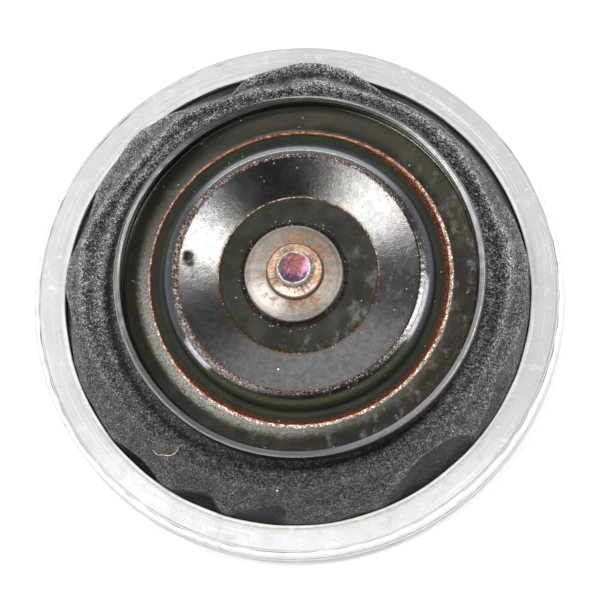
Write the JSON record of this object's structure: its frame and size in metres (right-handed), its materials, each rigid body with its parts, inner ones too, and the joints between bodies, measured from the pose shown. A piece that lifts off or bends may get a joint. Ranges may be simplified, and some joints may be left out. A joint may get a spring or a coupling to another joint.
{
  "type": "injection pump diaphragm",
  "caption": "Slack leather diaphragm clamped in a crimped aluminium ring, with a riveted pressed steel spring seat and a centre stud with an eye.",
  "frame": {"origin": "middle of the ring, on the plane that the ring's rear face rests on", "axes": "+Z along the hub's axis towards the front plate; the eye's bore lies along X"},
  "size_m": [0.068, 0.068, 0.0172],
  "materials": {
    "ring_aluminium": "worn, matt, finely scratched round its circumference",
    "leather": "black, napped, coarse speckle",
    "dark_steel": "black oxide, glossy, rust along its edges",
    "worn_steel": "grey brown, worn, light rust",
    "rusty_steel": "peened, rusty"
  },
  "bodies": {
    "ring": {"ring_channel": "ring_aluminium", "ring_clamp": "ring_aluminium", "leather_diaphragm": "leather"},
    "hub": {"front_plate": "dark_steel", "rear_plate": "dark_steel", "washer": "worn_steel", "stud": "rusty_steel"}
  },
  "joints": [
    {"name": "hub_travel", "type": "slide", "parent": "ring", "child": "hub", "axis": [0, 0, 1], "range_m": [-0.0165, 0.0015], "deforming": ["leather_diaphragm"]}
  ]
}
